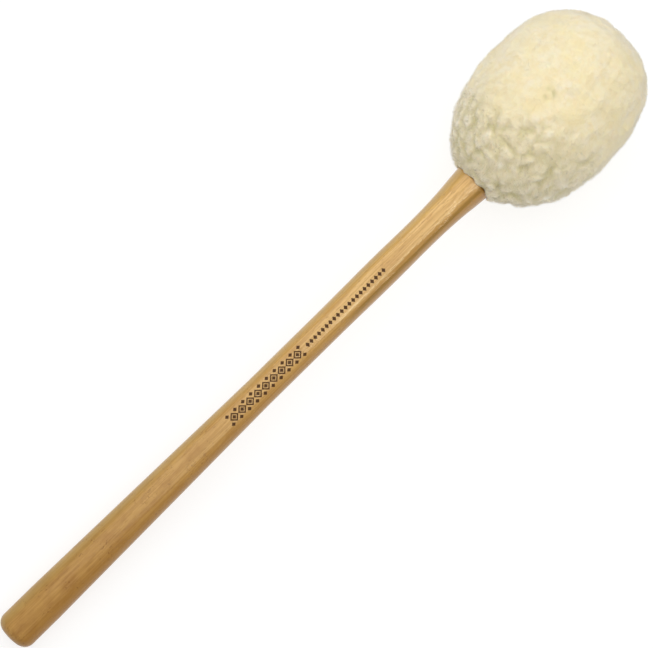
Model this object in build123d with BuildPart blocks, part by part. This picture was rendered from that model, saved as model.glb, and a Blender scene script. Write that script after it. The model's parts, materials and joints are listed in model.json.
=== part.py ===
from build123d import *
from math import cos, radians, sin
import os

# A soft drum mallet lying at rest on a table: a turned hardwood handle with a large egg-shaped
# head of fleece over felt, wadding and a wooden core. All sizes are in millimetres.
#
# Frame: +X runs along the mallet from the butt to the head, and +Z is up. The origin is on the
# table, under the middle of the mallet. The handle's axis climbs a little towards the head,
# because the butt's lower edge and the underside of the head both touch the table.
# "Station" means the distance along the mallet's own axis, measured from the butt.

# Whole mallet
overall_length = 390.0
rest_tilt = 4.42

# Handle
butt_radius = 9.5
butt_edge_radius = 5.2
butt_straight_end = 22.5
shank_radius = 7.3
shank_start = 158.0
shank_end = 200.0
swell_radius = 7.55
swell_station = 245.0
waist_radius = 7.4
waist_station = 264.0
flare_radius = 8.2
flare_station = 281.5
shoulder_radius = 9.4
shoulder_edge_radius = 0.8
shoulder_end = 295.2
tenon_radius = 6.25
tenon_end = 333.0
tenon_chamfer = 1.0
pilot_radius = 2.15
pilot_end = 312.0

# Head outline: an egg with its widest point nearer to the tip
head_radius = 37.0
widest_station = 345.0
head_base = 292.4
base_fullness = 0.59
tip_fullness = 0.66

# Fleece cover
fleece_thickness = 9.0
hem_thickness = 9.6
tip_thickness = 8.5
cover_hole_radius = 8.5
layer_gap = 0.2

# Wooden core
core_neck_radius = 8.2
core_neck_start = 295.3
core_radius = 18.0
core_start = 313.0
core_end = 357.0
core_lower_edge_radius = 3.0
core_upper_edge_radius = 5.0
core_bore_radius = 6.35
core_bore_end = 333.6
screw_clearance_radius = 2.4

# Screw and washer that hold the core on the tenon
washer_radius = 9.0
washer_thickness = 1.5
washer_edge_radius = 0.4
screw_head_radius = 4.2
screw_head_height = 3.0
screw_head_edge_radius = 1.4
screw_shank_radius = 1.75
screw_tip_station = 314.0
screw_point_length = 4.0
thread_crest_radius = 2.05
thread_root_radius = 1.5
thread_pitch = 2.0
thread_turns = 9
recess_width = 1.1
recess_length = 5.0
recess_depth = 1.8

# Felt pieces and wadding
wrap_radius = 23.5
wrap_inset = 5.0
wrap_start = 318.0
wrap_end = 355.8
neck_pad_radius = 15.0
neck_pad_thickness = 3.0
tip_pad_radius = 20.0
tip_pad_end = 367.5
tip_pad_edge_radius = 3.0
pad_gap = 0.1

# Threads and cord
drawcord_radius = 1.0
drawcord_ring_radius = 9.4
drawcord_station = 297.8
gather_thread_radius = 0.6
gather_ring_radius = 4.0
gather_station = 381.9
thread_clearance = 0.12
stitch_radius = 0.45
stitch_length = 2.6
stitch_count = 12
seam_slot_width = 1.5
seam_slot_depth = 1.6
seam_start = 313.5
seam_end = 367.5
seam_first_fraction = 0.28
seam_last_fraction = 0.70

# The mallet's axis in its resting place. The length's middle stands over the origin, and the
# butt's rounded lower edge just touches the table.
tilt = radians(rest_tilt)
along = Vector(cos(tilt), 0, sin(tilt))
butt_x = -overall_length / 2 * cos(tilt)
butt_flat_radius = butt_radius - butt_edge_radius
butt_z = butt_edge_radius + butt_flat_radius * cos(tilt) - butt_edge_radius * sin(tilt)
butt_point = Vector(butt_x, 0, butt_z)
mallet_axis = Axis(butt_point, along)
side_plane = Plane(origin=butt_point, x_dir=along, z_dir=(0, -1, 0))

# Stations and radii that follow from the sizes above
shoulder_hole_radius = shoulder_radius + layer_gap
cavity_base = head_base + hem_thickness
cavity_tip = overall_length - tip_thickness
cavity_radius = head_radius - fleece_thickness
washer_end = core_end + washer_thickness
screw_head_end = washer_end + screw_head_height
neck_pad_end = core_start - pad_gap
neck_pad_start = neck_pad_end - neck_pad_thickness


def cross_plane(station):
    """The plane square to the axis at a station, facing the head."""
    return Plane(origin=butt_point + along * station, z_dir=along)


def egg_outline(base, tip, radius):
    """The closed upper half of an egg that is cut along the axis."""
    egg_side(base, tip, radius)
    Line((tip, 0), (base, 0))


def keep_band(start, end, inner_radius):
    """Keeps what the sketch has between two stations and outside a radius."""
    for corner_height, mode in ((0, Mode.INTERSECT), (inner_radius - head_radius, Mode.SUBTRACT)):
        with Locations((start, corner_height)):
            Rectangle(end - start, head_radius, align=(Align.MIN, Align.MIN), mode=mode)


def egg_side(base, tip, radius):
    """The curved side of an egg, from its base on the axis, over its widest point, to its tip."""
    base_reach = base_fullness * (widest_station - base)
    tip_reach = tip_fullness * (tip - widest_station)
    Bezier(
        (base, 0),
        (base, base_fullness * radius),
        (widest_station - base_reach, radius),
        (widest_station, radius),
    )
    Bezier(
        (widest_station, radius),
        (widest_station + tip_reach, radius),
        (tip, tip_fullness * radius),
        (tip, 0),
    )


def axis_box(start, end, radius, mode=Mode.ADD):
    """A rectangle from the axis out to a radius, between two stations."""
    with Locations((start, 0)):
        Rectangle(end - start, radius, align=(Align.MIN, Align.MIN), mode=mode)


def widest_rims(piece):
    """The round edges of the largest radius, in order along the mallet."""
    circles = piece.edges().filter_by(GeomType.CIRCLE)
    return circles.group_by(SortBy.RADIUS)[-1].sort_by(mallet_axis)


def write(name, piece):
    piece.part.label = name
    export_step(piece.part, f"parts/{name}.step")


# ---------------------------------------------------------------- handle
with BuildPart() as handle:
    with BuildSketch(side_plane):
        with BuildLine():
            Line((0, 0), (0, butt_flat_radius))
            CenterArc((butt_edge_radius, butt_flat_radius), butt_edge_radius, 90, 90)
            Line((butt_edge_radius, butt_radius), (butt_straight_end, butt_radius))
            Line((butt_straight_end, butt_radius), (shank_start, shank_radius))
            Line((shank_start, shank_radius), (shank_end, shank_radius))
            Spline(
                (shank_end, shank_radius),
                (swell_station, swell_radius),
                (waist_station, waist_radius),
                (flare_station, flare_radius),
                (shoulder_end - shoulder_edge_radius, shoulder_radius),
                tangents=((1, 0), (1, 0.07)),
            )
            CenterArc(
                (shoulder_end - shoulder_edge_radius, shoulder_radius - shoulder_edge_radius),
                shoulder_edge_radius,
                0,
                90,
            )
            Polyline(
                (shoulder_end, shoulder_radius - shoulder_edge_radius),
                (shoulder_end, tenon_radius),
                (tenon_end - tenon_chamfer, tenon_radius),
                (tenon_end, tenon_radius - tenon_chamfer),
                (tenon_end, 0),
                (0, 0),
            )
        make_face()
    revolve(axis=mallet_axis)
    with BuildSketch(cross_plane(tenon_end)):
        Circle(pilot_radius)
    extrude(amount=pilot_end - tenon_end, mode=Mode.SUBTRACT)

# ---------------------------------------------------------------- wooden core
with BuildPart() as core:
    with BuildSketch(cross_plane(core_neck_start)):
        Circle(core_neck_radius)
    extrude(amount=core_start - core_neck_start)
    with BuildSketch(cross_plane(core_start)):
        Circle(core_radius)
    extrude(amount=core_end - core_start)
    fillet(widest_rims(core)[0], radius=core_lower_edge_radius)
    fillet(widest_rims(core)[-1], radius=core_upper_edge_radius)
    with BuildSketch(cross_plane(core_neck_start)):
        Circle(core_bore_radius)
    extrude(amount=core_bore_end - core_neck_start, mode=Mode.SUBTRACT)
    with BuildSketch(cross_plane(core_end)):
        Circle(screw_clearance_radius)
    extrude(amount=core_bore_end - core_end, mode=Mode.SUBTRACT)

# ---------------------------------------------------------------- washer under the screw head
with BuildPart() as core_washer:
    with BuildSketch(cross_plane(core_end)):
        Circle(washer_radius)
        Circle(screw_clearance_radius, mode=Mode.SUBTRACT)
    extrude(amount=washer_thickness)
    fillet(widest_rims(core_washer), radius=washer_edge_radius)

# ---------------------------------------------------------------- wood screw into the tenon
# The thread is a row of ridges on the root of the screw, one for each turn.
with BuildPart() as core_screw:
    with BuildSketch(side_plane):
        thread_start = screw_tip_station + screw_point_length
        thread_end = thread_start + thread_turns * thread_pitch
        axis_box(thread_start, thread_end, thread_root_radius)
        axis_box(thread_end, washer_end, screw_shank_radius)
        axis_box(washer_end, screw_head_end, screw_head_radius)
        with BuildLine():
            Polyline(
                (screw_tip_station, 0),
                (thread_start, thread_root_radius),
                (thread_start, 0),
                close=True,
            )
        make_face()
        for turn in range(thread_turns):
            ridge_start = thread_start + turn * thread_pitch
            with BuildLine():
                Polyline(
                    (ridge_start, 0),
                    (ridge_start, thread_root_radius),
                    (ridge_start + thread_pitch / 2, thread_crest_radius),
                    (ridge_start + thread_pitch, thread_root_radius),
                    (ridge_start + thread_pitch, 0),
                    close=True,
                )
            make_face()
    revolve(axis=mallet_axis)
    fillet(widest_rims(core_screw)[-1], radius=screw_head_edge_radius)
    with BuildSketch(cross_plane(screw_head_end)):
        Rectangle(recess_length, recess_width)
        Rectangle(recess_width, recess_length)
    extrude(amount=-recess_depth, mode=Mode.SUBTRACT)

# ---------------------------------------------------------------- felt sleeve round the core
with BuildPart() as core_wrap:
    with BuildSketch(side_plane):
        with BuildLine():
            egg_outline(cavity_base + wrap_inset, cavity_tip - wrap_inset, wrap_radius)
        make_face()
        keep_band(wrap_start, wrap_end, core_radius + layer_gap)
    revolve(axis=mallet_axis)

# ---------------------------------------------------------------- felt ring under the core
with BuildPart() as neck_pad:
    with BuildSketch(cross_plane(neck_pad_start)):
        Circle(neck_pad_radius)
        Circle(core_neck_radius + layer_gap, mode=Mode.SUBTRACT)
    extrude(amount=neck_pad_thickness)

# ---------------------------------------------------------------- felt disc over the screw head
with BuildPart() as tip_pad:
    with BuildSketch(side_plane):
        axis_box(core_end + pad_gap, tip_pad_end, tip_pad_radius)
        axis_box(core_end, screw_head_end + layer_gap, washer_radius + layer_gap, Mode.SUBTRACT)
    revolve(axis=mallet_axis)
    fillet(widest_rims(tip_pad)[-1], radius=tip_pad_edge_radius)

# ---------------------------------------------------------------- wadding that fills out the egg
with BuildPart() as padding:
    with BuildSketch(side_plane):
        with BuildLine():
            egg_outline(cavity_base + layer_gap, cavity_tip - layer_gap, cavity_radius - layer_gap)
        make_face()
        axis_box(cavity_base, core_start, core_neck_radius + layer_gap, Mode.SUBTRACT)
        axis_box(neck_pad_start - layer_gap, core_start, neck_pad_radius + layer_gap, Mode.SUBTRACT)
        axis_box(core_start - layer_gap, core_end, core_radius + layer_gap, Mode.SUBTRACT)
        axis_box(core_end, tip_pad_end + layer_gap, tip_pad_radius + layer_gap, Mode.SUBTRACT)
        with BuildSketch(side_plane, mode=Mode.SUBTRACT):
            with BuildLine():
                egg_outline(
                    cavity_base + wrap_inset - layer_gap,
                    cavity_tip - wrap_inset + layer_gap,
                    wrap_radius + layer_gap,
                )
            make_face()
            keep_band(wrap_start - layer_gap, wrap_end + layer_gap, core_radius)
    revolve(axis=mallet_axis)

# ---------------------------------------------------------------- fleece cover
# The thickness is the knit backing and its pile together. The lower edge is turned in as a hem
# round the handle's shoulder and the neck of the core, with a channel for the drawcord. The
# pile is pressed flat where the head lies on the table.
with BuildPart() as fleece_cover:
    with BuildSketch(side_plane):
        with BuildLine():
            egg_outline(head_base, overall_length, head_radius)
        make_face()
        with BuildLine():
            egg_outline(cavity_base, cavity_tip, cavity_radius)
        make_face(mode=Mode.SUBTRACT)
        axis_box(head_base, core_start, cover_hole_radius, Mode.SUBTRACT)
        axis_box(head_base, shoulder_end + layer_gap, shoulder_hole_radius, Mode.SUBTRACT)
        with Locations((drawcord_station, drawcord_ring_radius)):
            Circle(drawcord_radius + thread_clearance, mode=Mode.SUBTRACT)
        with Locations((gather_station, gather_ring_radius)):
            Circle(gather_thread_radius + thread_clearance, mode=Mode.SUBTRACT)
    revolve(axis=mallet_axis)
    with BuildSketch(side_plane):
        with BuildLine():
            egg_outline(
                cavity_base - seam_slot_depth,
                cavity_tip + seam_slot_depth,
                cavity_radius + seam_slot_depth,
            )
        make_face()
        keep_band(seam_start, seam_end, core_radius)
    extrude(amount=seam_slot_width / 2, both=True, mode=Mode.SUBTRACT)
    split(bisect_by=Plane.XY, keep=Keep.TOP)

# ---------------------------------------------------------------- stitches of the cover's seam
with BuildLine(side_plane) as seam_line:
    seam_offset = seam_slot_depth / 2
    egg_side(cavity_base - seam_offset, cavity_tip + seam_offset, cavity_radius + seam_offset)
seam_route = seam_line.wires()[0]

with BuildPart() as seam_thread:
    for stitch in range(stitch_count):
        share = stitch / (stitch_count - 1)
        fraction = seam_first_fraction + share * (seam_last_fraction - seam_first_fraction)
        stitch_plane = Plane(origin=seam_route @ fraction, z_dir=seam_route % fraction)
        with BuildSketch(stitch_plane):
            Circle(stitch_radius)
        extrude(amount=stitch_length / 2, both=True)

# ---------------------------------------------------------------- ring of thread at the tip
with BuildPart() as tip_gather_thread:
    with BuildSketch(side_plane):
        with Locations((gather_station, gather_ring_radius)):
            Circle(gather_thread_radius)
    revolve(axis=mallet_axis)

# ---------------------------------------------------------------- drawcord in the hem
with BuildPart() as neck_drawcord:
    with BuildSketch(side_plane):
        with Locations((drawcord_station, drawcord_ring_radius)):
            Circle(drawcord_radius)
    revolve(axis=mallet_axis)

os.makedirs("parts", exist_ok=True)
write("handle", handle)
write("core", core)
write("core_washer", core_washer)
write("core_screw", core_screw)
write("core_wrap", core_wrap)
write("neck_pad", neck_pad)
write("tip_pad", tip_pad)
write("padding", padding)
write("fleece_cover", fleece_cover)
write("seam_thread", seam_thread)
write("tip_gather_thread", tip_gather_thread)
write("neck_drawcord", neck_drawcord)
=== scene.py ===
import json
from math import cos, pi, radians, sin, tau

import bpy
import numpy as np
from mathutils import Matrix, Vector


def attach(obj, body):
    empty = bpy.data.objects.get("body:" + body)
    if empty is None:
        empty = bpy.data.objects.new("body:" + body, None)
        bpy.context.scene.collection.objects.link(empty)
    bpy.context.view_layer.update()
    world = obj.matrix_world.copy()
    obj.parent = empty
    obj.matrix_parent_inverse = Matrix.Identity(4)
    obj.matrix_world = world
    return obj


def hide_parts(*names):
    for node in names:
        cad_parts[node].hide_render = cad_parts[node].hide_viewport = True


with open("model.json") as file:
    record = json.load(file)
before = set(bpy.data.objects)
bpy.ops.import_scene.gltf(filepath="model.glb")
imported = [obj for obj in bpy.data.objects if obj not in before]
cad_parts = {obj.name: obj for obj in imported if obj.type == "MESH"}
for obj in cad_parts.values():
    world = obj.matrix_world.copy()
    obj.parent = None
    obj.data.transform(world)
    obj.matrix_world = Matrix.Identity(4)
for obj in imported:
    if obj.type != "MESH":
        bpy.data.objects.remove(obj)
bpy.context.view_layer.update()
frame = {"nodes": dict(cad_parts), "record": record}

# A soft drum mallet: the turned handle and the pieces inside the head come from the CAD frame,
# and the fleece of the head is built here. Lengths are in metres, and in millimetres in the
# materials.
#
# Local coordinates are (station, side, above): station runs along the handle's axis from the
# butt, side is the row's +Y, and above is square to both.
mm = 0.001

mounts = {mount["name"]: mount for mount in frame["record"]["mounts"]}
butt = np.array(mounts["butt_face"]["pos_m"])
along = -np.array(mounts["butt_face"]["axis"])
side = np.array((0.0, 1.0, 0.0))
above = np.cross(along, side)
local_axes = np.array([along, side, above])

# Head outline, as the CAD cover has it
head_base = 292.4 * mm
widest_station = 345.0 * mm
mallet_length = 390.0 * mm
head_radius = 37.0 * mm
base_fullness = 0.59
tip_fullness = 0.66

# The hem is turned in round the handle's shoulder and the core's neck
hem_pit_station = 300.0 * mm
hem_hole_radius = 8.6 * mm
hem_edge_station = 296.8 * mm
hem_edge_radius = 9.9 * mm
hem_blend_radius = 10.2 * mm

# The skin lies under the cover's outline, because the fibres stand out from it
head_grid = 128
pile_depth = 0.65 * mm
softening_rounds = 6
# The head sits a little askew on the handle, and isn't quite round. A lump has its middle as
# local coordinates, its reach and its height, all in millimetres.
head_turn = 0.02
straight_station = 338.0 * mm
turn_start = 296 * mm
turn_full = 310 * mm
lumps = {
    "flatter beside the tip": ((385.0, 19.0, 5.0), 15.0, -0.7),
    "fuller beside the tip": ((386.0, -18.0, 0.0), 11.0, 1.0),
    "fuller shoulder": ((318.0, -33.0, 0.0), 10.0, 0.5),
    "hollow near the hem": ((300.0, -21.0, 0.0), 6.0, -1.0),
    "dimple on top": ((343.6, 4.4, 37.0), 3.0, -0.7),
}

# The curls end at an uneven edge round the head, across which they fade out
curly_edge = 329 * mm
curly_edge_slant = 9 * mm
curly_edge_wander = 3 * mm
curly_edge_wave = 9 * mm
fade_before = 11 * mm
fade_beyond = 10 * mm

# Puffs of curly wool. Ranges are shares: of the spacing for a puff's size, and of the full height
# for its height. A puff leans towards the butt more often than not.
puff_spacing = 5.1 * mm
puff_height = 2.3 * mm
puff_base = 0.6
puff_lean = (-0.5, 0, 0)
puff_stretches = (1.0, 1.7)
puff_sizes = (0.40, 0.60)
puff_heights = (0.6, 1.0)
puff_cutoff = 12.0
candidate_count = 14000
candidate_curliness = 0.03
warp_reach = 0.6 * mm
warp_size = 4.5 * mm

# The rim round the handle is ragged, between these distances from the axis
rim_inner = 10.5 * mm
rim_outer = 15 * mm

# Where the head rests on the table, the wool is pressed flat
pressed_height = 0.25 * mm
pressed_share = 0.02
table_gap = 0.1 * mm
bare_height = 0.8 * mm

# Fibres of the wool, with the ranges of their lengths and radii in millimetres. A few upright
# ones stand among the curls too.
fibre_root_depth = 0.2 * mm
upright_lengths = (0.5, 1.2)
curled_lengths = (0.6, 1.3)
fibre_radii = (0.045, 0.075)
upright_among_curls = 0.03

# Seeds of the random draws
warp_seeds = (1, 2, 3)
candidate_seed = 5
puff_seed = 17
edge_seed = 21
depth_seed = 22
swell_seed = 31
ripple_seed = 32
rim_seed = 33
dimple_seed = 34


def to_world(local):
    return butt + np.asarray(local) @ local_axes


def unit(rows):
    """Rows of vectors, made one long."""
    return rows / np.linalg.norm(rows, axis=-1, keepdims=True)


def smooth_step(x, low, high):
    t = np.clip((x - low) / (high - low), 0, 1)
    return t * t * (3 - 2 * t)


def bell(local, place, reach):
    """From 1 at a place to 0 well outside its reach, both in millimetres."""
    return np.exp(-(((local / mm - place) / reach) ** 2).sum(1))


def new_mesh(name, points, faces, material):
    mesh = bpy.data.meshes.new(name)
    mesh.from_pydata(points, [], faces)
    mesh.polygons.foreach_set("use_smooth", [True] * len(mesh.polygons))
    mesh.materials.append(material)
    piece = bpy.data.objects.new(name, mesh)
    bpy.context.scene.collection.objects.link(piece)
    return piece


# ---------------------------------------------------------------- materials
class Surface:
    """A node material in the making, with short names for the nodes that it needs."""

    def __init__(self, name):
        self.material = bpy.data.materials.new(name)
        self.material.use_nodes = True
        self.tree = self.material.node_tree
        self.shader = self.tree.nodes["Principled BSDF"]

    def node(self, kind, *inputs, **settings):
        """The first output of a new node. An input that is None keeps its own value."""
        node = self.tree.nodes.new("ShaderNode" + kind)
        for name, value in settings.items():
            setattr(node, name, value)
        for socket, value in zip(node.inputs, inputs):
            if value is not None:
                self.feed(socket, value)
        return node.outputs[0]

    def feed(self, socket, value):
        if isinstance(value, bpy.types.NodeSocket):
            self.tree.links.new(value, socket)
        else:
            socket.default_value = value

    def set(self, **values):
        """Sets the shader's inputs. An underscore in a name stands for a space."""
        for name, value in values.items():
            self.feed(self.shader.inputs[name.replace("_", " ")], value)

    def math(self, operation, a, b=None, c=None):
        return self.node("Math", a, b, c, operation=operation)

    def add(self, a, b):
        return self.math("ADD", a, b)

    def times(self, a, b):
        return self.math("MULTIPLY", a, b)

    def times_add(self, a, b, c):
        return self.math("MULTIPLY_ADD", a, b, c)

    def less(self, value):
        """One less the value."""
        return self.math("SUBTRACT", 1.0, value)

    def apart(self, a, b):
        """How far two values are apart."""
        return self.math("ABSOLUTE", self.math("SUBTRACT", a, b))

    def vector_math(self, operation, a, b=None):
        return self.node("VectorMath", a, b, operation=operation)

    def dot(self, place, axis):
        """How far a place is along an axis."""
        node = self.tree.nodes.new("ShaderNodeVectorMath")
        node.operation = "DOT_PRODUCT"
        self.feed(node.inputs[0], place)
        node.inputs[1].default_value = Vector(axis)
        return node.outputs["Value"]

    def noise(self, place, size, detail=2.0, seed=0.0):
        """Noise from 0 to 1, with lumps about size long, in 4D so that a seed can move it."""
        node = self.tree.nodes.new("ShaderNodeTexNoise")
        node.noise_dimensions = "4D"
        self.feed(node.inputs["Vector"], place)
        node.inputs["W"].default_value = seed
        node.inputs["Scale"].default_value = 1 / size
        node.inputs["Detail"].default_value = detail
        return node.outputs[0]

    def step(self, value, low, high):
        """From 0 at low to 1 at high, smoothly."""
        node = self.tree.nodes.new("ShaderNodeMapRange")
        node.interpolation_type = "SMOOTHSTEP"
        self.feed(node.inputs["Value"], value)
        node.inputs["From Min"].default_value = low
        node.inputs["From Max"].default_value = high
        return node.outputs[0]

    def between(self, value, low, high):
        """A value of 0 to 1 spread evenly from low to high."""
        return self.node("MapRange", value, 0, 1, low, high)

    def mix(self, share, first, second):
        """A colour between two colours."""
        node = self.tree.nodes.new("ShaderNodeMix")
        node.data_type = "RGBA"
        self.feed(node.inputs["Factor"], share)
        colours = [s for s in node.inputs if s.type == "RGBA"]
        self.feed(colours[0], first)
        self.feed(colours[1], second)
        return [s for s in node.outputs if s.type == "RGBA"][0]

    def bump(self, height, depth):
        """A normal from a height of 0 to 1 that stands for depth in metres."""
        node = self.tree.nodes.new("ShaderNodeBump")
        node.inputs["Strength"].default_value = 1.0
        node.inputs["Distance"].default_value = depth
        self.feed(node.inputs["Height"], height)
        return node.outputs[0]

    def place_mm(self):
        """The place in the row frame, in millimetres."""
        coordinates = self.tree.nodes.new("ShaderNodeTexCoord").outputs["Object"]
        return self.vector_math("MULTIPLY", coordinates, (1000, 1000, 1000))

    def local_mm(self):
        """The place as (station, side, above), in millimetres."""
        from_butt = self.vector_math("SUBTRACT", self.place_mm(), Vector(butt * 1000))
        return [self.dot(from_butt, axis) for axis in local_axes]

    def attribute(self, name):
        """A value kept for each point of the mesh."""
        node = self.tree.nodes.new("ShaderNodeAttribute")
        node.attribute_name = name
        return node.outputs["Fac"]


def colour(red, green, blue):
    return (red, green, blue, 1.0)


def fleece_material(name, softness, paleness):
    """Cream wool: mottled and cooler in the curls, with olive shade painted in the creases between
    them. softness is the share of light that goes through it, and paleness makes single fibres
    lighter."""
    wool = Surface(name)
    place = wool.place_mm()

    def tint(red, green, blue):
        pale = np.array((1.0, 0.93, 0.77))
        mixed = (1 - paleness) * np.array((red, green, blue)) + paleness * pale
        return colour(*mixed)

    broad = wool.step(wool.noise(place, size=11.0, detail=3.0, seed=1.0), 0.35, 0.65)
    cream = wool.mix(broad, tint(0.925, 0.81, 0.51), tint(0.935, 0.84, 0.615))
    specks = wool.step(wool.noise(place, size=3.2, detail=2.0, seed=2.0), 0.40, 0.72)
    speckled = wool.mix(specks, cream, tint(0.895, 0.775, 0.495))
    curled = wool.mix(wool.attribute("curly"), speckled, tint(0.865, 0.78, 0.555))
    lightened = wool.mix(wool.attribute("pale"), curled, tint(0.97, 0.91, 0.76))
    wool.set(
        # The colour takes painted olive shade where the crease value is high, between the puffs.
        Base_Color=wool.mix(wool.attribute("crease_shade"), lightened, tint(0.64, 0.58, 0.29)),
        Roughness=wool.between(wool.noise(place, size=0.5, detail=3.0, seed=3.0), 0.85, 1.0),
        Normal=wool.bump(wool.noise(place, size=0.9, detail=4.0, seed=4.0), 0.3 * mm),
        Specular_IOR_Level=0.2,
        Sheen_Weight=0.3,
        Sheen_Roughness=0.5,
        Subsurface_Weight=softness,
        Subsurface_Scale=2.5 * mm,
        Subsurface_Radius=(1.0, 0.85, 0.6),
    )
    return wool.material


# ---------------------------------------------------------------- the head's skin
def bezier(points, t):
    """A cubic curve's points at the values t."""
    a, b, c, d = (np.array(p)[None] for p in points)
    t = np.asarray(t)[:, None]
    return a * (1 - t) ** 3 + 3 * b * t * (1 - t) ** 2 + 3 * c * t**2 * (1 - t) + d * t**3


def head_profile(count=2000):
    """(share of the length, station, radius) along the outline, from the hem's pit to the tip."""
    base_reach = base_fullness * (widest_station - head_base)
    tip_reach = tip_fullness * (mallet_length - widest_station)
    t = np.linspace(0, 1, count)
    lower = bezier(
        (
            (head_base, 0),
            (head_base, base_fullness * head_radius),
            (widest_station - base_reach, head_radius),
            (widest_station, head_radius),
        ),
        t,
    )
    upper = bezier(
        (
            (widest_station, head_radius),
            (widest_station + tip_reach, head_radius),
            (mallet_length, tip_fullness * head_radius),
            (mallet_length, 0),
        ),
        t,
    )
    lower = lower[lower[:, 1] > hem_edge_radius]
    pit = np.array(
        [
            (hem_pit_station, 0),
            (hem_pit_station, hem_hole_radius),
            (hem_edge_station, hem_hole_radius),
        ]
    )
    line = np.vstack([pit, lower, upper[1:]])
    length = np.r_[0, np.cumsum(np.linalg.norm(np.diff(line, axis=0), axis=1))]
    return length / length[-1], line[:, 0], line[:, 1]


def ball_grid(count):
    """Points of a unit ball made from a cube's grid, and its quads."""
    step = np.tan(np.linspace(-pi / 4, pi / 4, count + 1))
    u, v = np.meshgrid(step, step, indexing="ij")
    one = np.ones_like(u)
    sheets = [(one, u, v), (-one, v, u), (v, one, u), (u, -one, v), (u, v, one), (v, u, -one)]
    points = unit(np.vstack([np.stack(s, -1).reshape(-1, 3) for s in sheets]))
    i, j = np.meshgrid(range(count), range(count), indexing="ij")
    corner = (i * (count + 1) + j).ravel()
    quad = np.stack([corner, corner + count + 1, corner + count + 2, corner + 1], 1)
    quads = np.vstack([quad + k * (count + 1) ** 2 for k in range(6)])
    _, first, back = np.unique(points.round(7), axis=0, return_index=True, return_inverse=True)
    return points[first], back.ravel()[quads]


def plain_skin():
    """(local points, quads) of the head's outline, turned round the axis."""
    ball, quads = ball_grid(head_grid)
    share, profile_station, profile_radius = head_profile()
    polar = np.arccos(np.clip(-ball[:, 0], -1, 1)) / pi
    turn = np.arctan2(ball[:, 2], ball[:, 1])
    station = np.interp(polar, share, profile_station)
    radius = np.interp(polar, share, profile_radius)
    return np.stack([station, radius * np.cos(turn), radius * np.sin(turn)], 1), quads


def gather(places, rows, count):
    """Adds up rows by the places that they belong to."""
    return np.stack([np.bincount(places, column, count) for column in rows.T], 1)


def surface_normals(points, quads):
    """Unit normals at the points of a quad mesh."""
    corners = points[quads]
    facing = np.cross(corners[:, 2] - corners[:, 0], corners[:, 3] - corners[:, 1])
    return unit(sum(gather(quads[:, k], facing, len(points)) for k in range(4)))


def softened(rows, quads, rounds):
    """Rows of values at a quad mesh's points, each averaged with its neighbours' rounds times."""
    ends = np.vstack([quads[:, [k, (k + 1) % 4]] for k in range(4)])
    near = sum(np.bincount(ends[:, k], minlength=len(rows)) for k in range(2))
    for _ in range(rounds):
        total = gather(ends[:, 0], rows[ends[:, 1]], len(rows))
        total += gather(ends[:, 1], rows[ends[:, 0]], len(rows))
        rows = 0.5 * rows + 0.5 * total / near[:, None]
    return rows


def wave_noise(points, scale, seed, waves=28):
    """Smooth seeded noise of about unit height, as a sum of waves; scale is its lumps' size."""
    draw = np.random.default_rng(seed)
    heading = unit(draw.normal(size=(waves, 3)))
    pitch = tau / (scale * draw.uniform(1.4, 2.8, waves))
    phase = draw.uniform(0, tau, waves)
    total = np.zeros(len(points))
    for way, k, start in zip(heading, pitch, phase):
        total += np.cos(points @ way * k + start)
    return total / np.sqrt(waves / 2)


def spread(points, spacing, seed):
    """Indices of points, chosen at random, no two nearer than the spacing."""
    order = np.random.default_rng(seed).permutation(len(points))
    kept = []
    for i in order:
        if not kept or np.linalg.norm(points[kept] - points[i], axis=1).min() > spacing:
            kept.append(i)
    return np.array(kept)


def curliness(local):
    """From 0 on the clipped pile to 1 in the curls near the handle, which reach further up the
    side that faces away from +Y."""
    sideways = local[:, 1] / head_radius
    wander = curly_edge_wander * wave_noise(local, curly_edge_wave, edge_seed)
    edge = curly_edge - curly_edge_slant * sideways + wander
    return 1 - smooth_step(local[:, 0], edge - fade_before, edge + fade_beyond)


class Curls:
    """Puffs of wool that crowd the skin: soft mounds of different sizes, each longer the way that
    it lies."""

    def __init__(self, points, normals, size, seed):
        draw = np.random.default_rng(seed)
        chosen = spread(points, size, seed)
        count = len(chosen)
        self.middle = points[chosen]
        lie = draw.normal(size=(count, 3)) + np.array(puff_lean)
        lie -= (lie * normals[chosen]).sum(1)[:, None] * normals[chosen]
        self.lie = unit(lie)
        self.stretch = draw.uniform(*puff_stretches, count)
        self.size = size * draw.uniform(*puff_sizes, count)
        self.height = draw.uniform(*puff_heights, count)
        self.paleness = draw.uniform(0, 1, count) ** 2
        reach = (0.6 * self.size * self.stretch)[:, None]
        self.tip = self.middle + self.lie * reach + 0.55 * size * normals[chosen]

    def relief(self, points, sharpness=5.0):
        """(height, owner) at each point: height is up to 1 on a puff and low between puffs, and
        owner is the number of the puff that stands highest there."""
        total = np.zeros(len(points))
        best = np.zeros(len(points))
        owner = np.full(len(points), -1)
        for k, middle in enumerate(self.middle):
            gap = (points - middle) / self.size[k]
            near = np.flatnonzero((gap**2).sum(1) < puff_cutoff)
            run = gap[near] @ self.lie[k]
            off = (gap[near] ** 2).sum(1) - run**2
            away = (run / self.stretch[k]) ** 2 + off * self.stretch[k] ** 0.3
            mound = self.height[k] * np.exp(-0.5 * away**1.4) * (1 + 0.08 * run)
            total[near] += np.maximum(mound, 0) ** sharpness
            highest = mound > best[near]
            best[near[highest]] = mound[highest]
            owner[near[highest]] = k
        return total ** (1 / sharpness), owner


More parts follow.
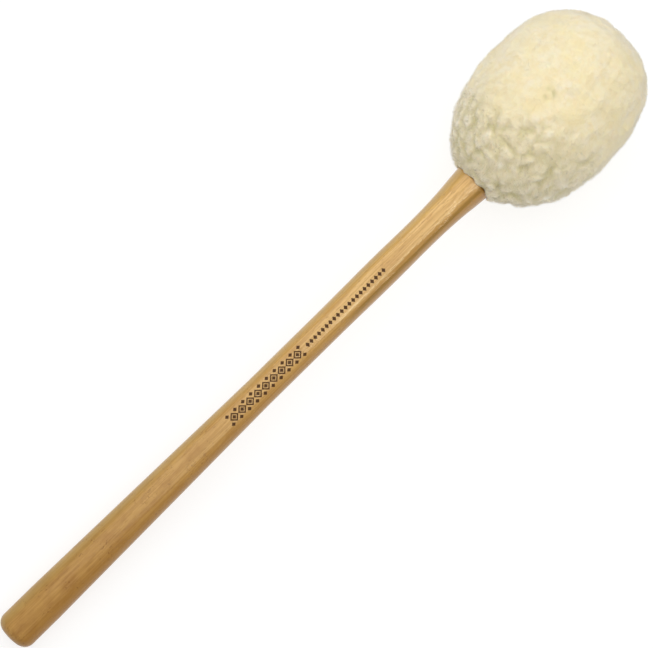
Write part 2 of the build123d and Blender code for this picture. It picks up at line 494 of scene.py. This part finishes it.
class Skin:
    """The head's fleece skin, a quad mesh, with values at its points: outside is 0 in the hem's
    hole, curly is 1 among the curls, crease_shade is 1 where olive shade is painted between puffs
    and pale is 1 on a pale puff."""

    def __init__(self):
        self.local, self.quads = plain_skin()
        normals = surface_normals(self.local, self.quads)
        self.from_axis = np.hypot(self.local[:, 1], self.local[:, 2])
        before_widest = smooth_step(self.from_axis, hem_hole_radius + 0.1 * mm, hem_blend_radius)
        self.outside = np.where(self.local[:, 0] > widest_station, 1.0, before_widest)
        self.curly = curliness(self.local)
        depth_noise = wave_noise(self.local, 6 * mm, depth_seed)
        self.deep = 0.6 + 0.4 * smooth_step(depth_noise, -0.8, 0.9)
        self.make_puffs(normals)
        move = softened(normals * self.relief()[:, None], self.quads, softening_rounds)
        station = self.local[:, 0]
        swing = smooth_step(station, turn_start, turn_full)
        move[:, 1] += head_turn * (station - straight_station) * swing
        move[:, 0] += self.rim_shift()
        self.points = to_world(self.local + move)
        height = self.points[:, 2]
        pressed = pressed_height + pressed_share * height
        self.points[:, 2] = np.where(height < pressed_height, pressed, height)
        self.normals = surface_normals(self.points, self.quads)

    def make_puffs(self, normals):
        """Places the puffs and finds where shade is painted in the creases and where the skin is
        pale.
        """
        waves = [wave_noise(self.local, warp_size, seed) for seed in warp_seeds]
        warp = warp_reach * np.stack(waves, 1)
        order = np.random.default_rng(candidate_seed).permutation(len(self.local))
        candidates = order[:candidate_count]
        zone = candidates[self.curly[candidates] > candidate_curliness]
        curls = Curls(self.local[zone], normals[zone], puff_spacing, puff_seed)
        self.puff, self.owner = curls.relief(self.local + warp)
        self.curl_tips = to_world(curls.tip)
        smooth_puff = softened(self.puff[:, None], self.quads, rounds=2)[:, 0]
        between_puffs = 1 - smooth_step(smooth_puff, 0.2, 0.75)
        # Painted shade: olive darkening in the creases between the puffs, among the curls.
        self.crease_shade = 0.75 * self.curly * self.outside * self.deep * between_puffs
        # A painted shadow in the dimple on top, broken up by noise.
        place, reach, _ = lumps["dimple on top"]
        broken = smooth_step(wave_noise(self.local, 2.2 * mm, dimple_seed), -0.8, 1.2)
        self.crease_shade += broken * bell(self.local, place, reach)
        own_paleness = np.where(self.owner < 0, 0.0, curls.paleness[self.owner])
        pale = self.curly * own_paleness * smooth_step(self.puff, 0.6, 0.95)
        self.pale = softened(pale[:, None], self.quads, rounds=3)[:, 0]

    def relief(self):
        """How far the skin stands out from the plain outline, in metres."""
        relief = self.curly * self.outside * self.deep * puff_height * (self.puff - puff_base)
        swell = 0.24 * mm * wave_noise(self.local, 6 * mm, swell_seed)
        ripple_height = (0.15 - 0.05 * self.curly) * mm
        ripple = ripple_height * wave_noise(self.local, 2.4 * mm, ripple_seed)
        relief += self.outside * (swell + ripple) * (1 - 0.3 * self.curly)
        for place, reach, height in lumps.values():
            relief += self.outside * height * mm * bell(self.local, place, reach)
        return relief - self.outside * pile_depth

    def rim_shift(self):
        """The rim draws back from the handle on top and hangs towards it on the side away
        from +Y."""
        near_rim = 1 - smooth_step(self.from_axis, rim_inner, rim_outer)
        rim = self.outside * near_rim * (self.local[:, 0] < widest_station)
        side_share, up_share = (self.local[:, k] / self.from_axis.clip(mm) for k in (1, 2))
        ragged = wave_noise(self.local, 3.0 * mm, rim_seed)
        return rim * mm * (-0.2 + 0.5 * up_share + 0.2 * side_share + 0.5 * ragged)


# ---------------------------------------------------------------- the wool's fibres
def random_places(points, quads, share, count, seed):
    """(corners, weights) of count random places on a quad mesh, more of them where share is high."""
    draw = np.random.default_rng(seed)
    corners = points[quads]
    diagonals = np.cross(corners[:, 2] - corners[:, 0], corners[:, 3] - corners[:, 1])
    chance = np.linalg.norm(diagonals, axis=1) * share[quads].mean(1)
    chosen = quads[draw.choice(len(quads), count, p=chance / chance.sum())]
    u, v = draw.uniform(size=(2, count))
    weights = np.stack([(1 - u) * (1 - v), u * (1 - v), u * v, (1 - u) * v], 1)
    return chosen, weights


def at_places(values, corners, weights):
    """Values, or rows of them, at places on a quad mesh."""
    if values.ndim == 1:
        return (values[corners] * weights).sum(1)
    return (values[corners] * weights[..., None]).sum(1)


def fibre_mesh(name, line, radius, material):
    """(piece, points in each fibre): thin closed three-sided fibres. line holds each fibre's
    points, from the root to the tip, and they narrow to nothing at the tip."""
    count, joints = line.shape[:2]
    heading = unit(line[:, -1] - line[:, 0])
    hint = np.where(np.abs(heading[:, :1]) < 0.9, (1.0, 0, 0), (0, 1.0, 0))
    first = unit(np.cross(heading, hint))
    second = np.cross(heading, first)
    rings = joints - 1
    points = np.zeros((count, 3 * rings + 1, 3))
    for ring in range(rings):
        width = radius * (1 - 0.5 * ring / rings)
        for corner in range(3):
            turn = tau * corner / 3
            out = cos(turn) * first + sin(turn) * second
            points[:, 3 * ring + corner] = line[:, ring] + width[:, None] * out
    points[:, -1] = line[:, -1]
    tip = 3 * rings
    last = tip - 3
    faces = [(0, 2, 1)]
    faces += [(last + k, last + (k + 1) % 3, tip) for k in range(3)]
    for ring in range(rings - 1):
        low = 3 * ring
        for k in range(3):
            a, b = low + k, low + (k + 1) % 3
            faces += [(a, b, b + 3), (a, b + 3, a + 3)]
    starts = (tip + 1) * np.arange(count)
    all_faces = (np.array(faces)[None] + starts[:, None, None]).reshape(-1, 3)
    points[..., 2] = np.maximum(points[..., 2], table_gap)
    return new_mesh(name, points.reshape(-1, 3), all_faces.tolist(), material), tip + 1


def store(piece, name, values):
    """Keeps a value for each point of a piece, for its material."""
    piece.data.attributes.new(name, "FLOAT", "POINT").data.foreach_set("value", values)


def fleece_head(skin):
    material = fleece_material("fleece", softness=0.5, paleness=0.0)
    head = new_mesh("fleece_head", skin.points, skin.quads.tolist(), material)
    store(head, "curly", skin.curly)
    store(head, "crease_shade", skin.crease_shade)
    store(head, "pale", skin.pale)
    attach(head, "root")
    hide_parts("fleece_cover")


def upright_fibres(draw, root, out, stray):
    """Two-point lines of short fibres that stand up from the skin."""
    length = draw.uniform(*upright_lengths, len(root)) * mm
    tip = root + unit(out + 0.45 * stray) * length[:, None]
    return np.stack([root - fibre_root_depth * out, tip], 1)


def curled_fibres(draw, root, out, stray, to_tip, from_axis):
    """Three-point lines of fibres that bend towards the tips of their puffs, shorter near the
    handle."""
    away = np.linalg.norm(to_tip, axis=1)
    to_tip = to_tip / away[:, None]
    length = draw.uniform(*curled_lengths, len(root)) * mm + 0.12 * np.minimum(away, 4 * mm)
    length *= 0.5 + 0.5 * smooth_step(from_axis, 11 * mm, 15 * mm)
    first = unit(0.7 * out + 0.6 * to_tip + 0.16 * stray)
    bend = unit(0.15 * out + to_tip + 0.25 * draw.normal(size=(len(root), 3)))
    half = 0.5 * length[:, None]
    middle = root + first * half
    return np.stack([root - fibre_root_depth * out, middle, middle + bend * half], 1)


def pile(name, skin, material, seed, count, in_curls):
    """Short upright fibres on the clipped pile, or longer ones that draw together at the tips of
    the curls."""
    draw = np.random.default_rng(seed)
    share = skin.curly * (skin.owner >= 0) if in_curls else 1 + upright_among_curls - skin.curly
    amount = (skin.points[:, 2] > bare_height) * skin.outside * share
    corners, weights = random_places(skin.points, skin.quads, amount, count, seed)
    root = at_places(skin.points, corners, weights)
    out = unit(at_places(skin.normals, corners, weights))
    stray = draw.normal(size=(count, 3))
    if in_curls:
        to_tip = skin.curl_tips[skin.owner[corners[:, 0]]] - root
        from_axis = at_places(skin.from_axis, corners, weights)
        line = curled_fibres(draw, root, out, stray, to_tip, from_axis)
    else:
        line = upright_fibres(draw, root, out, stray)
    radius = draw.uniform(*fibre_radii, count) * mm
    piece, each = fibre_mesh(name, line, radius, material)
    # The fibres carry half of the painted crease shade.
    kept = {"curly": skin.curly, "crease_shade": 0.5 * skin.crease_shade, "pale": skin.pale}
    for value_name, values in kept.items():
        store(piece, value_name, np.repeat(at_places(values, corners, weights), each))
    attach(piece, "root")


skin = Skin()
fleece_head(skin)
fibre = fleece_material("fleece_fibre", softness=0.5, paleness=0.35)
pile("clipped_pile", skin, fibre, seed=41, count=48000, in_curls=False)
pile("curly_pile", skin, fibre, seed=42, count=17000, in_curls=True)


# ---------------------------------------------------------------- handle
class Hardwood(Surface):
    """Hardwood with long grain. It keeps the place in the handle, in millimetres, and the noises
    and shares of 0 to 1 that its colours use: late is dark late wood, pores are open pores, and
    handled is wood browned by the hand, most of it at the butt."""

    def __init__(self, name):
        super().__init__(name)
        self.station, self.side_way, self.up_way = self.local_mm()
        self.place = self.node("CombineXYZ", self.station, self.side_way, self.up_way)
        self.streaks = self.grain(0.022, size=0.75, detail=3.0, seed=1.0)
        self.broad = self.grain(0.06, size=4.0, detail=2.0, seed=2.0)
        self.pore_noise = self.grain(0.13, size=0.40, detail=1.0, seed=4.0)
        self.blotches = self.grain(0.35, size=3.2, detail=4.0, seed=5.0)
        self.late = self.late_wood()
        fewer_in_late = self.less(self.times(self.late, 0.7))
        self.pores = self.times(self.step(self.pore_noise, 0.60, 0.68), fewer_in_late)
        uneven_station = self.times_add(self.broad, 50.0, self.station)
        self.handled = self.less(self.step(uneven_station, 20.0, 300.0))

    def grain(self, share, **settings):
        """Noise that is longer along the grain, where a distance counts for only a share."""
        stretched = self.vector_math("MULTIPLY", self.place, (share, 1.0, 1.0))
        return self.noise(stretched, **settings)

    def overlay(self, under, share, amount, over):
        """A colour laid over another one, by a share of 0 to 1 times an amount."""
        return self.mix(self.times(share, amount), under, over)

    def late_wood(self):
        """The share of dark late wood. The growth rings are round a pith that is well below the
        handle and a little out of line with it."""
        ring_width = 2.3
        ring_wander = 2.4
        pith_side, pith_side_slope = 14.0, 0.012
        pith_depth, pith_depth_slope = 31.0, -0.02
        slow_place = self.vector_math("MULTIPLY", self.place, (0.02, 0.5, 0.5))
        wander = self.noise(slow_place, size=3.0, detail=1.0, seed=3.0)
        across = self.add(self.side_way, self.times_add(self.station, pith_side_slope, pith_side))
        up = self.add(self.up_way, self.times_add(self.station, pith_depth_slope, pith_depth))
        from_pith = self.math("SQRT", self.add(self.times(across, across), self.times(up, up)))
        ring_place = self.times_add(wander, ring_wander, from_pith)
        ring = self.math("FRACT", self.math("DIVIDE", ring_place, ring_width))
        return self.times(self.step(ring, 0.35, 0.85), self.less(self.step(ring, 0.93, 1.0)))

    def sound(self):
        """The colour of sound wood: blond, with rings, streaks, blotches and pores."""
        broad = self.step(self.broad, 0.35, 0.68)
        tone = self.mix(broad, colour(0.80, 0.51, 0.18), colour(0.70, 0.42, 0.125))
        tone = self.overlay(tone, self.late, 0.38, colour(0.58, 0.32, 0.09))
        streaks = self.step(self.streaks, 0.44, 0.58)
        tone = self.overlay(tone, streaks, 0.55, colour(0.53, 0.29, 0.08))
        blotches = self.step(self.blotches, 0.48, 0.75)
        tone = self.overlay(tone, blotches, 0.3, colour(0.56, 0.28, 0.07))
        return self.overlay(tone, self.pores, 0.45, colour(0.36, 0.18, 0.06))

    def aged_and_edge_shaded(self, tone):
        """Browned by the hand towards the butt, with painted shade darkening both long edges of the
        handle: browner on the -Y side and greener on the +Y side."""
        fine_wear = self.times(self.step(self.streaks, 0.42, 0.60), 0.35)
        worn = self.times_add(self.step(self.blotches, 0.40, 0.66), 0.65, fine_wear)
        browned = self.mix(worn, colour(0.475, 0.255, 0.068), colour(0.335, 0.155, 0.04))
        tone = self.overlay(tone, self.handled, 0.85, browned)
        # Painted shade along the handle's -Y edge, made browner.
        minus_y_edge_shade = self.less(self.step(self.times_add(self.broad, 5.0, self.side_way), -4.5, 1.5))
        tone = self.overlay(tone, minus_y_edge_shade, 0.72, colour(0.38, 0.18, 0.03))
        # Painted shade along the handle's +Y edge, made greener.
        plus_y_edge_shade = self.step(self.times_add(self.broad, 3.0, self.side_way), 5.0, 8.5)
        return self.overlay(tone, plus_y_edge_shade, 0.6, colour(0.47, 0.30, 0.08))

    def painted_streak(self, side_way, middle, half_width, first, last):
        """The share of one long streak along the handle, between two stations of the handle, for a
        painted reflection and a painted glint line.
        """
        fade_in, fade_out = 16.0, 8.0
        off_line = self.apart(side_way, middle)
        across = self.less(self.step(off_line, 0.3 * half_width, half_width))
        start = self.step(self.station, first, first + fade_in)
        end = self.less(self.step(self.station, last - fade_out, last))
        return self.times(across, self.times(start, end))

    def with_painted_reflections(self, tone):
        """With a painted dark reflection and a line of painted glints along the slim end."""
        # A painted dark reflection along the -Y side of the slim end.
        wavy_side = self.times_add(self.broad, 1.6, self.side_way)
        shade = self.painted_streak(wavy_side, middle=-4.4, half_width=1.2, first=205.0, last=300.0)
        tone = self.overlay(tone, shade, 0.6, colour(0.28, 0.155, 0.018))
        # A painted glint line, broken into flecks by the pores.
        line = self.painted_streak(self.side_way, middle=-2.3, half_width=0.7, first=195.0, last=298.0)
        painted_glints = self.times(line, self.step(self.pore_noise, 0.47, 0.54))
        return self.overlay(tone, painted_glints, 0.5, colour(0.95, 0.72, 0.36))

    def dented(self, tone):
        """With small dents where it is held."""
        dents = self.step(self.grain(0.5, size=0.7, detail=3.0, seed=6.0), 0.58, 0.66)
        bruised = self.step(self.noise(self.place, size=7.0, detail=1.0, seed=7.0), 0.50, 0.60)
        share = self.times(self.times(dents, bruised), self.times(self.handled, 0.7))
        return self.mix(share, tone, colour(0.24, 0.10, 0.03))

    def band(self, value, low, high):
        """1 between low and high."""
        blur = min(0.05 * (high - low) + 0.03, 0.1)
        above_low = self.step(value, low - blur, low + blur)
        return self.times(above_low, self.less(self.step(value, high - blur, high + blur)))

    def lozenges(self, first, count, pitch, middle, half_size, rings):
        """Lozenges in a row along the handle, the first at a station and middle to the side. Each
        ring is drawn between two shares of the way from a lozenge's middle to its edge."""
        half_length, half_width = half_size
        last = first + (count - 1) * pitch
        cell = self.math("PINGPONG", self.math("SUBTRACT", self.station, first), pitch / 2)
        lengthwise = self.math("DIVIDE", cell, half_length)
        crosswise = self.math("DIVIDE", self.apart(self.side_way, middle), half_width)
        reach = self.add(lengthwise, crosswise)
        drawn = self.band(reach, *rings[0])
        for low, high in rings[1:]:
            drawn = self.add(drawn, self.band(reach, low, high))
        return self.times(drawn, self.band(self.station, first - pitch / 2, last + pitch / 2))

    def burned(self):
        """The share of scorched wood in the ornament on top of the handle: a chain of lozenges,
        each with a lozenge inside, between two rows of dots, and a row of small lozenges beyond
        it."""
        solid = [(-1.0, 1.0)]
        nested = [(-1.0, 0.44), (0.64, 1.0)]
        pattern = self.lozenges(143.0, 9, pitch=5.0, middle=0.0, half_size=(2.5, 2.4), rings=nested)
        for first, count, pitch, middle, half_size in (
            (140.5, 10, 5.0, 2.2, (1.15, 1.0)),
            (140.5, 10, 5.0, -2.2, (1.15, 1.0)),
            (189.5, 21, 2.4, 0.0, (1.05, 1.25)),
        ):
            row = self.lozenges(first, count, pitch, middle, half_size, rings=solid)
            pattern = self.math("MAXIMUM", pattern, row)
        on_top = self.step(self.up_way, 0.0, 1.0)
        return self.times(self.times(pattern, on_top), 0.93)


def hardwood(name, marked):
    """Lacquered hardwood, duller where it is held, with the ornament burned in if it is marked."""
    grain_depth = 0.05 * mm
    wood = Hardwood(name)
    tone = wood.dented(wood.with_painted_reflections(wood.aged_and_edge_shaded(wood.sound())))
    lacquer = wood.times_add(wood.handled, -0.6, 0.85)
    if marked:
        scorch = wood.burned()
        tone = wood.mix(scorch, tone, colour(0.05, 0.016, 0.004))
        lacquer = wood.times(lacquer, wood.times_add(scorch, -0.95, 1.0))
    lacquer_relief = wood.add(wood.streaks, wood.times(wood.pores, -1.2))
    wood_relief = wood.add(wood.times(wood.streaks, 0.4), wood.times(wood.pores, -0.6))
    wood.set(
        Base_Color=tone,
        Roughness=wood.between(wood.streaks, 0.30, 0.42),
        Specular_IOR_Level=0.1,
        Coat_Weight=lacquer,
        Coat_Roughness=0.05,
        Coat_IOR=1.5,
        Coat_Normal=wood.bump(lacquer_relief, grain_depth),
        Normal=wood.bump(wood_relief, grain_depth),
    )
    return wood.material


# ---------------------------------------------------------------- pieces inside the head
def give(material, *names):
    """Gives CAD nodes a material."""
    for name in names:
        data = frame["nodes"][name].data
        data.materials.clear()
        data.materials.append(material)


def steel(name, length, width):
    """Bright steel with fine tool marks, given by how long and wide they are."""
    metal = Surface(name)
    place = metal.vector_math("DIVIDE", metal.place_mm(), (length, width, width))
    marks = metal.noise(place, size=1.0, detail=3.0)
    metal.set(
        Base_Color=metal.mix(marks, colour(0.62, 0.63, 0.64), colour(0.46, 0.47, 0.48)),
        Metallic=1.0,
        Roughness=metal.between(marks, 0.22, 0.42),
        Normal=metal.bump(marks, 0.01 * mm),
    )
    return metal.material


def matted(name, light, dark, tuft, roughness_low):
    """Wool felt or loose wadding: tangled fibres, with lumps about tuft long, in millimetres."""
    wool = Surface(name)
    place = wool.place_mm()
    lumps = wool.noise(place, size=tuft, detail=4.0, seed=1.0)
    hair_place = wool.vector_math("MULTIPLY", place, (0.5, 2.0, 2.0))
    hairs = wool.noise(hair_place, size=0.3, detail=5.0, seed=2.0)
    height = wool.add(wool.times(lumps, 0.6), wool.times(hairs, 0.4))
    wool.set(
        Base_Color=wool.mix(wool.step(height, 0.3, 0.7), dark, light),
        Roughness=wool.between(hairs, roughness_low, 1.0),
        Normal=wool.bump(height, 0.12 * tuft * mm),
        Specular_IOR_Level=0.15,
        Sheen_Weight=0.3,
        Sheen_Roughness=0.6,
    )
    return wool.material


def twisted(name, light, dark, pitch):
    """Waxed linen thread: strands laid at a slant, pitch apart, in millimetres."""
    thread = Surface(name)
    place = thread.place_mm()
    slant = thread.dot(place, (0.8, 0.45, 0.4))
    strands = thread.math("DIVIDE", thread.math("PINGPONG", slant, pitch / 2), pitch / 2)
    fuzz = thread.noise(place, size=0.2, detail=3.0)
    height = thread.times_add(fuzz, 0.3, strands)
    thread.set(
        Base_Color=thread.mix(thread.step(height, 0.1, 0.9), dark, light),
        Roughness=thread.between(fuzz, 0.55, 0.8),
        Normal=thread.bump(height, 0.1 * mm),
        Sheen_Weight=0.1,
    )
    return thread.material


core_felt = matted("core_felt", colour(0.80, 0.77, 0.68), colour(0.62, 0.58, 0.48), 1.2, 0.8)
pad_felt = matted("pad_felt", colour(0.72, 0.71, 0.66), colour(0.52, 0.50, 0.44), 0.9, 0.8)
wadding = matted("wadding", colour(0.93, 0.92, 0.88), colour(0.76, 0.74, 0.68), 3.0, 0.9)
seam_linen = twisted("seam_linen", colour(0.86, 0.80, 0.66), colour(0.58, 0.50, 0.36), 0.6)
cord_linen = twisted("cord_linen", colour(0.80, 0.73, 0.58), colour(0.50, 0.42, 0.29), 0.9)
give(hardwood("handle_wood", marked=True), "handle")
give(hardwood("core_wood", marked=False), "core")
give(steel("screw_steel", length=0.4, width=0.4), "core_screw")
give(steel("washer_steel", length=4.0, width=0.25), "core_washer")
give(core_felt, "core_wrap")
give(pad_felt, "neck_pad", "tip_pad")
give(wadding, "padding")
give(seam_linen, "seam_thread", "tip_gather_thread")
give(cord_linen, "neck_drawcord")

# ---------------------------------------------------------------- stage
floor_half = 3.0
floor_grey = 0.36
floor_glow = 0.72
sky_strength = 0.3
white = colour(1, 1, 1)

floor_material = Surface("floor")
floor_material.set(
    Base_Color=colour(floor_grey, floor_grey, floor_grey),
    Roughness=0.9,
    Specular_IOR_Level=0.1,
    Emission_Color=white,
    Emission_Strength=floor_glow,
)
floor_corners = [(x * floor_half, y * floor_half, 0) for x, y in ((-1, -1), (1, -1), (1, 1), (-1, 1))]
floor = new_mesh("floor", floor_corners, [(0, 1, 2, 3)], floor_material.material)

world = bpy.data.worlds.new("studio")
bpy.context.scene.world = world
world.use_nodes = True
world.node_tree.nodes["Background"].inputs["Color"].default_value = white
world.node_tree.nodes["Background"].inputs["Strength"].default_value = sky_strength
bpy.context.scene.view_settings.view_transform = "Standard"

# The camera looks square onto the handle from above, turned so that the mallet rises to the right
view_roll = radians(44.50)
view_station = 202.1 * mm
view_side = 0.7 * mm
view_width = 296.8 * mm
lens = 150.0
sensor = 36.0
clip_end = 50


def face(thing, place, towards, up_hint):
    """Puts a lamp or camera at a place, looking at a point, with its top towards up_hint."""
    back = Vector(place) - Vector(towards)
    back.normalize()
    across = Vector(up_hint).cross(back).normalized()
    turn_to = Matrix((across, back.cross(across), back)).transposed().to_4x4()
    thing.matrix_world = Matrix.Translation(Vector(place)) @ turn_to


camera_data = bpy.data.cameras.new("camera")
camera_data.lens = lens
camera_data.sensor_width = sensor
camera_data.clip_end = clip_end
camera = bpy.data.objects.new("camera", camera_data)
bpy.context.scene.collection.objects.link(camera)
target = to_world((view_station, view_side, 0))
distance = lens / sensor * view_width
face(camera, target + above * distance, target, sin(view_roll) * along + cos(view_roll) * side)
bpy.context.scene.camera = camera


def softbox(name, offset, size, radiance, tint=(1.0, 1.0, 1.0)):
    """A rectangular soft light, its place given from the head's middle as (along, side, above)."""
    data = bpy.data.lights.new(name, "AREA")
    data.shape = "RECTANGLE"
    data.size, data.size_y = size
    data.energy = radiance * pi * size[0] * size[1]
    data.color = tint
    lamp = bpy.data.objects.new(name, data)
    bpy.context.scene.collection.objects.link(lamp)
    middle = to_world((widest_station, 0, 0))
    face(lamp, middle + np.array(offset) @ local_axes, middle, side)


softbox("key", offset=(0.16, 0.18, 0.82), size=(1.15, 2.2), radiance=1.46)
warm = (1.0, 0.86, 0.62)
softbox("edge", offset=(-0.14, -0.54, 0.84), size=(0.014, 1.6), radiance=8.0, tint=warm)
